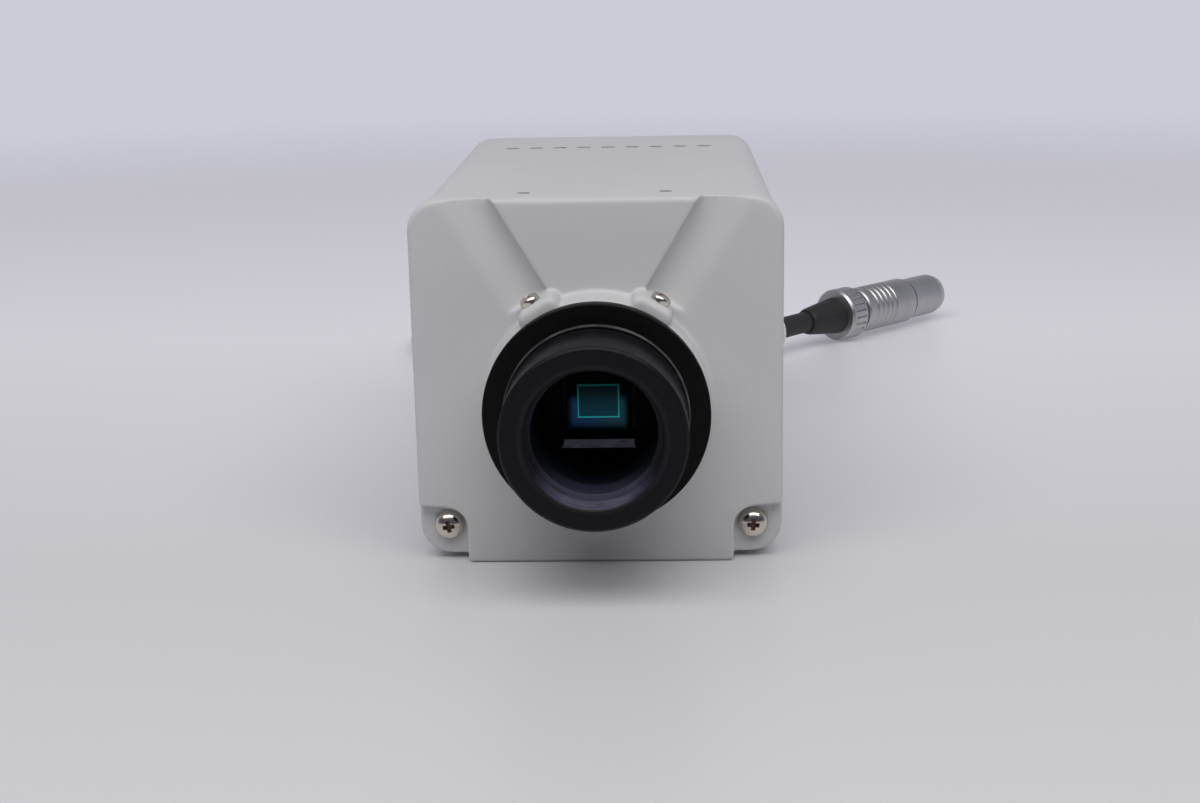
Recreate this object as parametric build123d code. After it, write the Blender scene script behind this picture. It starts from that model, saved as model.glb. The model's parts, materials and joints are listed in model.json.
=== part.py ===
from build123d import *

import math
import os

# Cooled astronomy camera head: a painted box with a C-mount nose on its front casting, a
# Peltier-cooled sensor behind it, a fan at the back and a short lead to the control unit.
# Millimetres. +X to the viewer's right, +Y from the nose towards the back, +Z up.
# Every part is drawn with Y measured from the front casting's face, and is then moved
# so that the origin lies at the mouth of the tripod socket in the base.

# ---- driving dimensions -------------------------------------------------------------
HALF_WIDTH = 35.0            # front casting
CASTING_TOP = 70.6
BODY_BOTTOM = 1.1            # cover and casting corners stand this far off the table
CORNER = 6.0
RIM_DEPTH = 5.0              # front casting's visible edge, up to the cover's seam
PLATE = 6.0                  # thickness of the casting's face plate
FOOT_HALF = 25.65            # flat foot and base plate
BODY_LENGTH = 115.6
TRIPOD_SETBACK = 45.0        # tripod socket behind the front face

LENS_Z = 31.7
BOSS_RADIUS = 21.3
BOSS_FRONT = -7.75
BOSS_FOOT = 0.8              # fillet between boss and face
NOSE_RADIUS = 16.88
NOSE_FRONT = -26.98
NOSE_BACK = -11.9            # rear shoulder of the nose barrel
NOSE_END = -5.0              # rear end of the nose sleeve
SLEEVE_RADIUS = 14.95
THREAD_RADIUS = 12.45        # mean wall of the 1-32 lens thread
THREAD_DEPTH = 5.0
NOSE_BORE = 11.4
FLANGE_RADIUS = 21.13
FLANGE_FRONT = -10.37
HUB_RADIUS = 18.45
HUB_END = -1.6
RUN = 0.05                   # radial running clearance

LOCK_ANGLE = 30.5            # lock screws and their channels, from straight up
LOCK_Y = -4.0
LUG_TOP = 23.3               # seat of a lock screw, from the lens axis
LUG_INNER, LUG_OUTER = 4.8, 3.6    # its reach towards and away from the centre line
LOCK_HEAD = (1.95, 1.5)      # radius and height
LOCK_TIP = 17.85             # tip of a lock screw, in the ring's groove
LOCK_SHANK = 1.0
# Section of the screwdriver channel above a lug: distance towards the centre line, depth.
CHANNEL = [(3.05, 0.0), (2.85, 0.9), (2.3, 1.5), (1.2, 1.8),
           (-0.4, 1.7), (-2.0, 1.25), (-3.8, 0.6), (-5.2, 0.15), (-6.2, 0.0)]

POCKET_DEPTH = 2.5
POCKET_X, POCKET_Z, POCKET_RADIUS = 29.9, 6.7, 4.25
POCKET_SIDE = 11.5
FRONT_SCREW = (29.4, 7.0)
FRONT_HEAD = (3.0, 2.2)
M3_RADIUS, M3_CLEAR = 1.5, 1.52
M2_CLEAR = 1.02

SHEET = 1.2
COVER_HALF = 34.7
COVER_TOP = 69.7
INNER_HALF = 33.3            # castings inside the cover
INNER_TOP = 68.4
BASE_TOP = 5.0
BASE_STEP = 2.4
REAR_PLATE = (112.6, 115.1)
SIDE_SCREW_Z = 43.0
SIDE_SCREW_Y = (8.2, 109.0)
SIDE_CLEAR = 1.42
BASE_SCREWS = [(x, y) for x in (-20, 20) for y in (8.5, 109.0)]
VENT_Y, VENT_PITCH, VENT_COUNT, VENT_RADIUS = 92.1, 5.58, 9, 1.6
TOP_HOLE_Y, TOP_HOLES_X, TOP_HOLE_RADIUS = 14.6, (-14.15, 13.2), 1.3

DIE_WIDTH, DIE_HEIGHT = 7.95, 6.45
DIE_FRONT = 1.2
WINDOW_HALF = 7.1
WINDOW_LOW, WINDOW_HIGH = 23.25, 40.15
HOUSING_HALF = 23.0
HOUSING_FRONT = -3.9
SNOUT_RADIUS = 17.4
HOUSING_BACK = 20.4
SINK_FRONT = 21.2
SINK_BACK = 60.0
SINK_TOP = 61.0
FIN_PITCH, FIN_COUNT, FIN_HALF = 5.2, 10, 0.75
DOWEL_DROP = 13.5            # anti-turn dowel of the nose, below the lens axis

BOARD_Z, BOARD_Y = (10.0, 11.6), (28.0, 105.0)
PILLAR_PLACES = [(x, y) for x in (-27, 27) for y in (31, 101)]

FAN_Z, FAN_HALF, FAN_Y = 45.0, 20.0, (102.6, 112.6)
FAN_HOLE, FAN_PITCH = 19.0, 16.0
GUARD_WIRE = 0.8
LEAD_X, LEAD_Z = 16.0, 17.0
BOOT_END = 150.0
GLAND_SHANK = 6.0
SWITCH_X, LED_X, CONTROL_Z = -17.0, -2.0, 12.0
LAMP_RADIUS = 1.55

TRIPOD_RADIUS, TRIPOD_DEPTH = 2.6, 6.5   # tapping hole of a 1/4-20 thread
BUSH_RADIUS, BUSH_TOP = 6.0, 8.0

CORD_RADIUS = 3.0
PLUG_START = (54.0, 186.0, 7.7)
PLUG_TURN = 45.0             # plug's direction in plan, from +X towards +Y
# Centre line of the lead, from the end of the strain relief to the back of the plug.
CORD_ROUTE = [
    (16, 150, 17), (16, 166, 17), (16.5, 184, 12.5), (15, 201, 6), (9, 217, 3.1),
    (-4, 228, 3.1), (-22, 233, 3.1), (-41, 228.5, 3.1), (-55, 215, 3.1), (-60.5, 197, 3.1),
    (-57, 178, 3.1), (-46, 162, 3.1), (-29, 151.5, 3.1), (-9, 147, 3.1), (11.5, 149.5, 3.1),
    (29, 161, 5), (42, 174, 7.7), PLUG_START,
]


# ---- shapes -------------------------------------------------------------------------
def block(x, y, z):
    """A box between three (low, high) pairs."""
    middle = [(low + high) / 2 for low, high in (x, y, z)]
    return Pos(*middle) * Box(*(high - low for low, high in (x, y, z)))


def spun(profile):
    """A solid turned about Z from its (radius, height) outline."""
    outline = Polyline(*[(radius, 0, height) for radius, height in profile], close=True)
    return revolve(make_face(outline), Axis.Z)


def turned(profile, x=0.0, z=LENS_Z):
    """A solid turned about a line along Y from its (radius, y) outline."""
    return Pos(x, 0, z) * Rot(-90, 0, 0) * spun(profile)


def rod(radius, y, x=0.0, z=LENS_Z):
    return turned([(0, y[0]), (radius, y[0]), (radius, y[1]), (0, y[1])], x, z)


def ring(inner, outer, y, x=0.0, z=LENS_Z):
    return turned([(inner, y[0]), (outer, y[0]), (outer, y[1]), (inner, y[1])], x, z)


def post(radius, z, x, y):
    return Pos(x, y, 0) * spun([(0, z[0]), (radius, z[0]), (radius, z[1]), (0, z[1])])


def slab(sketch, y):
    """A sketch drawn in X and Z, given thickness from y[0] to y[1]."""
    plane = Plane((0, y[0], 0), x_dir=(1, 0, 0), z_dir=(0, -1, 0))
    return extrude(plane * sketch, amount=-(y[1] - y[0]))


def rounded(half, bottom, top, radius):
    return Pos(0, (bottom + top) / 2) * RectangleRounded(2 * half, top - bottom, radius)


def radial(shape, angle, y):
    """Stand a shape drawn along Z on the lens axis, leaning by an angle."""
    return Pos(0, y, LENS_Z) * Rot(0, angle, 0) * shape


def cross_recess(size, depth):
    arm = Pos(0, 0, -depth / 2) * Box(size, size * 0.3, depth)
    return arm + Rot(0, 0, 90) * arm


def pan_screw(head_radius, head_height, shank_radius, length):
    """A cross-recessed pan-head screw: seat at z = 0, head upwards, shank downwards."""
    head = Pos(0, 0, head_height / 2) * Cylinder(head_radius, head_height)
    head = fillet(head.edges().sort_by(Axis.Z)[-1], head_height * 0.7)
    head -= Pos(0, 0, head_height) * cross_recess(head_radius * 1.1, head_height * 0.6)
    return head + Pos(0, 0, -length / 2) * Cylinder(shank_radius, length)


def flat_screw(head_radius, head_height, shank_radius, length):
    """A countersunk screw: face at z = 0, everything below it."""
    outline = [(0, 0), (head_radius, 0), (shank_radius, -head_height)]
    body = spun(outline + [(shank_radius, -length), (0, -length)])
    return body - cross_recess(head_radius * 1.1, head_height * 0.6)


def both_sides(x):
    return (-x, x)


def side_hole(x, y, depth):
    """Cutter for a cover screw's hole through a side wall."""
    return Pos(x, y, SIDE_SCREW_Z) * Rot(0, 90, 0) * Cylinder(SIDE_CLEAR, depth)


TO_FRONT, TO_BACK, TO_BELOW = Rot(90, 0, 0), Rot(-90, 0, 0), Rot(180, 0, 0)


# ---- front casting and lens mount -----------------------------------------------------
def pocket(side):
    """Cutter for the recess around a lower corner screw."""
    low = -1.0
    corner = Polyline(
        (side * POCKET_X, POCKET_Z + POCKET_RADIUS), (side * (HALF_WIDTH + 1), POCKET_SIDE),
        (side * (HALF_WIDTH + 1), low), (side * FOOT_HALF, low),
        (side * FOOT_HALF, POCKET_Z), (side * POCKET_X, POCKET_Z), close=True)
    shape = make_face(corner) + Pos(side * POCKET_X, POCKET_Z) * Circle(POCKET_RADIUS)
    return slab(shape, (-1, POCKET_DEPTH))


def lug(sign):
    """Soft-edged pad under one lock screw, drawn upright; sign is the side it stands on."""
    reach = sorted((-sign * LUG_INNER, sign * LUG_OUTER))
    pad = block(reach, (BOSS_FRONT - LOCK_Y, 1 - LOCK_Y), (16, LUG_TOP))
    pad = fillet(pad.edges().filter_by(Axis.Y).group_by(Axis.Z)[-1], 2.0)
    rim = [edge for edge in pad.faces().sort_by(Axis.Y)[0].edges() if edge.center().Z > 17]
    return fillet(rim, 1.3)


def boss():
    """The round boss, faired into the face, with a lug for each lock screw."""
    steps = [math.radians(90 * k / 6) for k in range(7)]
    foot = [(BOSS_RADIUS + BOSS_FOOT * (1 - math.sin(a)), BOSS_FOOT * (math.cos(a) - 1)) for a in steps]
    outline = [(0, 1), (BOSS_RADIUS + BOSS_FOOT, 1)] + foot
    outline += [(BOSS_RADIUS, BOSS_FRONT + 0.9), (BOSS_RADIUS - 0.9, BOSS_FRONT), (0, BOSS_FRONT)]
    shape = turned(outline)
    for sign in (-1, 1):
        shape += radial(lug(sign), sign * LOCK_ANGLE, LOCK_Y)
    return shape


def channel(sign):
    """Cutter for the screwdriver channel above a lug: crisp inner side, faired outer side."""
    section = [(-sign * x, depth - LOCK_Y, 0) for x, depth in CHANNEL]
    side = Spline(*section)
    open_front = Polyline(section[-1], (section[-1][0], -6, 0), (section[0][0], -6, 0), section[0])
    return Pos(0, 0, LUG_TOP) * extrude(make_face(side + open_front), amount=40, dir=(0, 0, 1))


def front_casting():
    plate = slab(rounded(HALF_WIDTH, BODY_BOTTOM, CASTING_TOP, CORNER), (0, RIM_DEPTH))
    plate = fillet(plate.edges().filter_by_position(Axis.Y, -0.01, 0.01), 1.1)
    foot = block((-FOOT_HALF, FOOT_HALF), (0, RIM_DEPTH), (0, 20))
    foot = chamfer(foot.edges().filter_by(Axis.Y).group_by(Axis.Z)[0], 0.6)
    front_edges = foot.edges().filter_by(Axis.X).filter_by_position(Axis.Y, -0.01, 0.01)
    plate += fillet(front_edges.sort_by(Axis.Z)[0], 0.4)
    spigot = slab(rounded(INNER_HALF, BASE_TOP, INNER_TOP, CORNER - 1.5), (RIM_DEPTH, 12))
    hollow = slab(rounded(INNER_HALF - 2.5, BASE_TOP + 2.5, INNER_TOP - 2.5, 3), (PLATE, 13))
    shape = plate + spigot - hollow + boss()
    shape -= rod(HUB_RADIUS + RUN, (BOSS_FRONT - 1, 0.5)) + rod(SNOUT_RADIUS + 0.02, (0, PLATE + 1))
    for sign in (-1, 1):
        seat = Pos(0, 0, LUG_TOP + 1.5) * Cylinder(LOCK_HEAD[0] + 0.35, 3)
        shank = Pos(0, 0, 20) * Cylinder(LOCK_SHANK + 0.06, 8)
        shape -= radial(channel(sign) + seat + shank, sign * LOCK_ANGLE, LOCK_Y)
    for side in (-1, 1):
        shape -= pocket(side)
        shape -= rod(M3_CLEAR, (-1, 13), side * FRONT_SCREW[0], FRONT_SCREW[1])
        shape -= side_hole(side * INNER_HALF, SIDE_SCREW_Y[0], 8)
        shape -= post(M3_CLEAR, (3, 9), side * 20, BASE_SCREWS[0][1])
        for rise in (-17, 17):
            shape -= rod(M2_CLEAR, (3, PLATE + 1), side * 17, LENS_Z + rise)
    return shape


def focus_ring():
    """Black back-focus ring: grip flange, raised lip and hub with a groove for the lock screws."""
    groove = LOCK_Y
    shape = turned([
        (SLEEVE_RADIUS + RUN, FLANGE_FRONT - 0.65), (17.0, FLANGE_FRONT - 0.65),
        (17.25, FLANGE_FRONT - 0.4), (17.25, FLANGE_FRONT), (FLANGE_RADIUS - 0.3, FLANGE_FRONT),
        (FLANGE_RADIUS, FLANGE_FRONT + 0.3), (FLANGE_RADIUS, BOSS_FRONT - 0.32),
        (FLANGE_RADIUS - 0.3, BOSS_FRONT - 0.02), (HUB_RADIUS, BOSS_FRONT - 0.02),
        (HUB_RADIUS, groove - 1.4), (HUB_RADIUS - 0.8, groove - 1.15),
        (HUB_RADIUS - 0.8, groove + 1.15), (HUB_RADIUS, groove + 1.4), (HUB_RADIUS, HUB_END),
        (SLEEVE_RADIUS + RUN, HUB_END)])
    return shape


def nose_tube():
    """C-mount barrel: it slides in the focus ring and is kept from turning by a dowel."""
    shape = turned([
        (THREAD_RADIUS, NOSE_FRONT + 0.45), (THREAD_RADIUS + 0.45, NOSE_FRONT),
        (NOSE_RADIUS - 0.5, NOSE_FRONT), (NOSE_RADIUS, NOSE_FRONT + 0.5),
        (NOSE_RADIUS, NOSE_BACK - 0.3), (NOSE_RADIUS - 0.3, NOSE_BACK),
        (SLEEVE_RADIUS, NOSE_BACK), (SLEEVE_RADIUS, NOSE_END), (NOSE_BORE, NOSE_END),
        (NOSE_BORE, NOSE_FRONT + THREAD_DEPTH), (THREAD_RADIUS, NOSE_FRONT + THREAD_DEPTH)])
    return shape - rod(0.66, (NOSE_END - 4.2, NOSE_END + 1), 0, LENS_Z - DOWEL_DROP)


def nose_dowel():
    return rod(0.6, (NOSE_END - 3, HOUSING_FRONT + 1.5), 0, LENS_Z - DOWEL_DROP)


def lock_screw(angle):
    screw = pan_screw(*LOCK_HEAD, LOCK_SHANK, LUG_TOP - LOCK_TIP)
    return radial(Pos(0, 0, LUG_TOP) * screw, angle, LOCK_Y)


def front_screws():
    screw = TO_FRONT * pan_screw(*FRONT_HEAD, M3_RADIUS, 9)
    return [Pos(side * FRONT_SCREW[0], POCKET_DEPTH, FRONT_SCREW[1]) * screw for side in (-1, 1)]


# ---- covers ---------------------------------------------------------------------------
def top_cover():
    """Wrap-round sheet cover, open underneath, with the row of vents and two small holes."""
    y = (RIM_DEPTH, BODY_LENGTH)
    shape = slab(rounded(COVER_HALF, BODY_BOTTOM, COVER_TOP, CORNER - 0.3), y)
    shape -= slab(rounded(COVER_HALF - SHEET, BODY_BOTTOM + SHEET, COVER_TOP - SHEET, CORNER - 1.5), y)
    shape -= block(both_sides(FOOT_HALF + 0.1), y, (0, 4))
    for k in range(VENT_COUNT):
        x = VENT_PITCH * (k - (VENT_COUNT - 1) / 2)
        shape -= post(VENT_RADIUS, (COVER_TOP - 2, COVER_TOP + 1), x, VENT_Y)
    for x in TOP_HOLES_X:
        shape -= post(TOP_HOLE_RADIUS, (COVER_TOP - 2, COVER_TOP + 1), x, TOP_HOLE_Y)
    for y in SIDE_SCREW_Y:
        for x in both_sides(COVER_HALF):
            shape -= side_hole(x, y, 4)
    return shape


def cover_screws():
    screw = pan_screw(2.6, 1.25, 1.4, 3.6)
    return [Pos(side * COVER_HALF, y, SIDE_SCREW_Z) * Rot(0, side * 90, 0) * screw
            for y in SIDE_SCREW_Y for side in (-1, 1)]


def base_plate():
    y = (RIM_DEPTH, REAR_PLATE[0])
    shape = block(both_sides(FOOT_HALF), y, (0, BASE_STEP)) + block((-29, 29), y, (BASE_STEP, BASE_TOP))
    shape -= post(BUSH_RADIUS, (-1, 9), 0, TRIPOD_SETBACK)
    sink = spun([(0, -1), (3.05, -1), (3.05, 0.05), (1.52, 1.75), (1.52, 9), (0, 9)])
    for x, y in BASE_SCREWS:
        shape -= Pos(x, y, 0) * sink
    return shape


def base_screws():
    screw = TO_BELOW * flat_screw(3.0, 1.65, 1.5, 7)
    return [Pos(x, y, 0.05) * screw for x, y in BASE_SCREWS]


def tripod_bush():
    shape = post(BUSH_RADIUS, (0, BASE_TOP), 0, TRIPOD_SETBACK)
    shape += post(BUSH_RADIUS + 1.5, (BASE_TOP, BUSH_TOP), 0, TRIPOD_SETBACK)
    return shape - post(TRIPOD_RADIUS, (-1, TRIPOD_DEPTH), 0, TRIPOD_SETBACK)


def rear_panel():
    near, far = REAR_PLATE
    through = (near - 1, far + 1)
    shape = slab(rounded(INNER_HALF, BASE_STEP, INNER_TOP - 0.1, 4.4), REAR_PLATE)
    shape += block((-25.5, 25.5), REAR_PLATE, (0.1, 10))
    shape += slab(rounded(INNER_HALF, BASE_TOP, INNER_TOP - 0.1, 4.4), (106, near))
    shape -= slab(rounded(INNER_HALF - 2.5, BASE_TOP + 2.5, INNER_TOP - 2.6, 2), (105, near))
    shape -= rod(FAN_HOLE, through, 0, FAN_Z)
    shape -= rod(GLAND_SHANK + 0.1, through, LEAD_X, LEAD_Z)
    shape -= rod(LAMP_RADIUS + 0.05, through, LED_X, CONTROL_Z)
    shape -= block((SWITCH_X - 4.5, SWITCH_X + 4.5), through, (CONTROL_Z - 1.7, CONTROL_Z + 1.7))
    for x, y in BASE_SCREWS[1::2]:
        shape -= post(M3_CLEAR, (0, 9), x, y)
    for x, z in fan_corners():
        shape -= rod(1.55, through, x, z)
    for x in both_sides(INNER_HALF):
        shape -= side_hole(x, SIDE_SCREW_Y[1], 8)
    return shape


# ---- sensor and cooler ----------------------------------------------------------------
def sensor_housing():
    """Black sealed housing: a snout with the rectangular window, a box and a rear flange."""
    half, z = HOUSING_HALF, LENS_Z
    shape = rod(SNOUT_RADIUS, (-1.0, PLATE + 1)) + rod(SLEEVE_RADIUS - 0.25, (HOUSING_FRONT, 0))
    shape += block((-half, half), (PLATE, HOUSING_BACK), (z - half, z + half))
    shape += block((-30, 30), (HOUSING_BACK - 3, HOUSING_BACK), (z - half, z + half))
    shape -= block((3 - half, half - 3), (9, HOUSING_BACK + 1), (z - half + 3, z + half - 3))
    shape -= rod(12.35, (HOUSING_FRONT - 1, -0.9))
    window = rounded(WINDOW_HALF, WINDOW_LOW, WINDOW_HIGH, 0.8)
    shape -= slab(window, (-2, 10))
    shape -= rod(0.6, (HOUSING_FRONT - 1, HOUSING_FRONT + 1.5), 0, z - DOWEL_DROP)
    shape -= block((-9, 9), (13, 14.2), (z - half - 1, z - half + 4))
    for x, rise in square_corners(17):
        shape -= rod(M2_CLEAR, (5, 10), x, z + rise)
    for x, height in flange_holes():
        shape -= rod(M3_CLEAR, (15, 22), x, height)
    return shape


def square_corners(half):
    return [(x, z) for x in (-half, half) for z in (-half, half)]


def flange_holes():
    """Screws that clamp the housing to the heat sink."""
    return [(x, LENS_Z + rise) for x in (-27, 27) for rise in (-19, 19)]


def window_seal():
    return ring(11.3, 12.3, (-1.3, -0.9))


def chamber_window():
    return rod(12.3, (-2.5, -1.3))


def window_retainer():
    shape = ring(11.2, 12.3, (HOUSING_FRONT + 0.1, -2.5))
    return shape - block((-0.6, 0.6), (-5, -3.0), (LENS_Z - 13, LENS_Z + 13))


def sensor_die():
    half, rise = DIE_WIDTH / 2, DIE_HEIGHT / 2
    return block((-half, half), (DIE_FRONT, DIE_FRONT + 0.4), (LENS_Z - rise, LENS_Z + rise))


def sensor_package():
    """Ceramic package: a tray whose rim carries the cover glass."""
    y = (0.5, DIE_FRONT + 3.4)
    shape = block((-6.3, 6.3), y, (LENS_Z - 5.7, LENS_Z + 5.7))
    return shape - block((-5.2, 5.2), (0, DIE_FRONT + 0.4), (LENS_Z - 4.6, LENS_Z + 4.6))


def sensor_glass():
    return block((-5.75, 5.75), (-0.2, 0.5), (LENS_Z - 5.2, LENS_Z + 5.2))


def sensor_pins():
    return [rod(0.25, (DIE_FRONT + 3.4, 13.4), side * 5.9, LENS_Z + 1.1 * (k - 4.5))
            for side in (-1, 1) for k in range(10)]


def sensor_board():
    shape = block((-15, 15), (11, 12.6), (LENS_Z - 14, LENS_Z + 14))
    shape -= block((-4.9, 4.9), (10, 14), (LENS_Z - 4.9, LENS_Z + 4.9))
    for pin in sensor_pins():
        shape -= Pos(*pin.center()) * Box(0.54, 12, 0.54)
    for x, rise in square_corners(12.5):
        shape -= rod(M2_CLEAR, (10, 14), x, LENS_Z + rise)
    return shape


def board_posts():
    return [rod(1.0, (9, 13.2), x, LENS_Z + rise) + ring(0.9, 2.0, (9, 11), x, LENS_Z + rise)
            for x, rise in square_corners(12.5)]


def cold_finger():
    shape = block((-4.7, 4.7), (DIE_FRONT + 3.4, 16.5), (LENS_Z - 4.7, LENS_Z + 4.7))
    return shape + block((-9.5, 9.5), (16.5, 18), (LENS_Z - 9.5, LENS_Z + 9.5))


def foam_jacket():
    shape = block((-13, 13), (13.6, 16.4), (LENS_Z - 13, LENS_Z + 13))
    return shape - block((-4.8, 4.8), (13, 17), (LENS_Z - 4.8, LENS_Z + 4.8))


def peltier_plate(y):
    return block((-10, 10), y, (LENS_Z - 10, LENS_Z + 10))


def peltier_pellets():
    pitch = 3.2
    places = [pitch * (k - 2.5) for k in range(6)]
    return [block((x - 0.8, x + 0.8), (18.8, 20.4), (LENS_Z + z - 0.8, LENS_Z + z + 0.8))
            for x in places for z in places]


def housing_gasket():
    half = HOUSING_HALF
    shape = block((-30, 30), (HOUSING_BACK, SINK_FRONT), (LENS_Z - half, LENS_Z + half))
    shape -= block((-19.5, 19.5), (20, 22), (LENS_Z - 19.5, LENS_Z + 19.5))
    for x, z in flange_holes():
        shape -= rod(M3_CLEAR, (20, 22), x, z)
    return shape


def heat_sink():
    shape = block((-30, 30), (SINK_FRONT, SINK_FRONT + 4), (LENS_Z - HOUSING_HALF, SINK_TOP))
    for k in range(FIN_COUNT):
        x = FIN_PITCH * (k - (FIN_COUNT - 1) / 2)
        shape += block((x - FIN_HALF, x + FIN_HALF), (SINK_FRONT + 4, SINK_BACK), (17, SINK_TOP))
    for x, z in flange_holes():
        shape -= rod(M3_CLEAR, (20, 26), x, z)
    return shape


def heat_sink_screws():
    screw = TO_BACK * pan_screw(2.7, 1.8, M3_RADIUS, 7.6)
    return [Pos(x, SINK_FRONT + 4, z) * screw for x, z in flange_holes()]


def housing_screws():
    screw = TO_BACK * pan_screw(1.9, 1.3, 1.0, 5.5)
    return [Pos(x, 9, LENS_Z + rise) * screw for x, rise in square_corners(17)]


# ---- boards ---------------------------------------------------------------------------
def main_board():
    shape = block((-29.5, 29.5), BOARD_Y, BOARD_Z)
    for x, y in PILLAR_PLACES:
        shape -= post(1.3, (9, 13), x, y)
    return shape


def board_pillars():
    pillars = []
    for x, y in PILLAR_PLACES:
        column = Pos(x, y, BASE_TOP) * extrude(RegularPolygon(2.6, 6), amount=BOARD_Z[0] - BASE_TOP)
        head = Pos(x, y, BOARD_Z[1]) * pan_screw(2.3, 1.4, 1.25, 1.6)
        pillars.append(column + head)
    return pillars


def board_chips():
    places = [(-14, 48, 14, 14), (12, 48, 10, 10), (-14, 72, 16, 8), (14, 70, 8, 14), (-4, 60, 6, 5)]
    return [block((x - w / 2, x + w / 2), (y - d / 2, y + d / 2), (BOARD_Z[1], BOARD_Z[1] + 1.7))
            for x, y, w, d in places]


def board_capacitors():
    cans = [(-22, 91, 4, 9), (-12, 93, 3.2, 7), (-22, 81, 2.5, 4), (-14, 82, 2.5, 4)]
    return [post(radius, (BOARD_Z[1], BOARD_Z[1] + height), x, y) for x, y, radius, height in cans]


def sensor_flex():
    """Flat flexible strip from the sensor board, out through the housing floor, to the main board."""
    y, low = 13.6, 7.9
    line = [(13.0, LENS_Z - 12), (y, LENS_Z - 13.5), (y, low + 1), (y + 1, low), (25.8, low),
            (26.8, BOARD_Z[1] + 0.6), (32, BOARD_Z[1] + 0.3)]
    path = Polyline(*[(0, a, b) for a, b in line])
    profile = Plane((0, line[0][0], line[0][1]), x_dir=(1, 0, 0), z_dir=path % 0) * Rectangle(14, 0.25)
    return sweep(profile, path, transition=Transition.RIGHT)


# ---- fan ------------------------------------------------------------------------------
def fan_corners():
    return [(x, FAN_Z + rise) for x, rise in square_corners(FAN_PITCH)]


def fan_frame():
    y0, y1 = FAN_Y
    shape = slab(rounded(FAN_HALF, FAN_Z - FAN_HALF, FAN_Z + FAN_HALF, 3), FAN_Y)
    shape -= rod(FAN_HOLE, (y0 - 1, y1 + 1), 0, FAN_Z)
    for angle in (45, 135, 225, 315):
        strut = Rot(0, angle, 0) * Pos(0, 0, FAN_HOLE / 2 + 4) * Box(2, 1.6, FAN_HOLE - 6)
        shape += Pos(0, y1 - 0.8, FAN_Z) * strut
    shape += rod(8.5, (y1 - 1.6, y1), 0, FAN_Z)
    for x, z in fan_corners():
        shape -= rod(1.45, (y0 - 1, y1 + 1), x, z)
    return shape


def fan_stator():
    y = (FAN_Y[0] + 2.6, FAN_Y[1] - 1.6)
    shape = ring(3.0, 4.4, y, 0, FAN_Z)
    for angle in range(0, 360, 90):
        pole = Rot(0, angle, 0) * Pos(0, 0, 5.4) * Box(3.2, 4, 2.6)
        shape += Pos(0, y[0] + 2.6, FAN_Z) * pole
    return shape


def fan_bush():
    return ring(1.0 + RUN, 3.0, (FAN_Y[0] + 2.6, FAN_Y[1] - 1.6), 0, FAN_Z)


def fan_shaft():
    return rod(1.0, (FAN_Y[0] + 2.0, FAN_Y[1] - 2.0), 0, FAN_Z)


def fan_rotor():
    y0 = FAN_Y[0]
    cup = turned([(0, y0 + 0.8), (8.4, y0 + 0.8), (9.0, y0 + 1.4), (9.0, y0 + 7.4), (7.9, y0 + 7.4),
                  (7.9, y0 + 2.0), (0, y0 + 2.0)], 0, FAN_Z)
    shape, sweep_ring = cup, ring(8.6, 18.3, (y0 + 1.0, y0 + 7.2), 0, FAN_Z)
    for k in range(7):
        blade = Pos(0, 0, 13.5) * Rot(0, 0, 38) * Box(0.9, 11, 12)
        blade = Pos(0, y0 + 4.1, FAN_Z) * Rot(0, 360 * k / 7, 0) * blade
        shape += blade & sweep_ring
    return shape


def fan_guard():
    """Wire finger guard: rings on four arms that end in eyes under the fan screws."""
    arm_y = REAR_PLATE[1] + GUARD_WIRE
    ring_y = arm_y + 1.4
    hub, spacing = 4.0, 4.6
    shape = Part()
    for k in range(4):
        shape += Pos(0, ring_y, FAN_Z) * Rot(90, 0, 0) * Torus(hub + spacing * k, GUARD_WIRE)
    start = hub - 0.6
    length = FAN_PITCH * math.sqrt(2) - 2.6 - start
    arm = Pos(0, 0, start + length / 2) * Cylinder(GUARD_WIRE, length)
    for angle in (45, 135, 225, 315):
        shape += Pos(0, arm_y, FAN_Z) * Rot(0, angle, 0) * arm
    for x, z in fan_corners():
        shape += Pos(x, arm_y, z) * Rot(90, 0, 0) * Torus(2.5, GUARD_WIRE)
    return shape


def fan_screws():
    screw = TO_BACK * pan_screw(2.9, 1.6, 1.4, 9)
    return [Pos(x, REAR_PLATE[1] + 2 * GUARD_WIRE, z) * screw for x, z in fan_corners()]


# ---- rear controls and lead --------------------------------------------------------------
def switch_body():
    near = REAR_PLATE[0]
    x, z = SWITCH_X, CONTROL_Z
    shape = block((x - 6.5, x + 6.5), (near - 5, near), (z - 3.2, z + 3.2))
    return shape - block((x - 4.2, x + 4.2), (near - 2.4, near + 1), (z - 1.5, z + 1.5))


def switch_knob():
    """Slide-switch knob, drawn at the OFF end of its travel."""
    x, z, far = SWITCH_X - 1.5, CONTROL_Z, REAR_PLATE[1]
    shape = block((x - 1.9, x + 1.9), (REAR_PLATE[0] - 2.3, far + 1.6), (z - 1.4, z + 1.4))
    for k in (-1, 0, 1):
        shape -= block((x + k - 0.2, x + k + 0.2), (far + 1.2, far + 2), (z - 2, z + 2))
    return shape


def status_lamp():
    near, far = REAR_PLATE
    outline = [(0, far - 5), (2.0, far - 5), (2.0, near), (LAMP_RADIUS, near),
               (LAMP_RADIUS, far + 0.4), (1.2, far + 1.0), (0.6, far + 1.3), (0, far + 1.35)]
    return turned(outline, LED_X, CONTROL_Z)


def cable_gland():
    near, far = REAR_PLATE
    outline = [(3.6, near - 4), (GLAND_SHANK, near - 4), (GLAND_SHANK, far), (7.5, far),
               (7.5, far + 2.5), (6.9, far + 3.1), (6.9, far + 8.4), (6.0, far + 9.4), (3.6, far + 9.4)]
    return turned(outline, LEAD_X, LEAD_Z)


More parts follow.
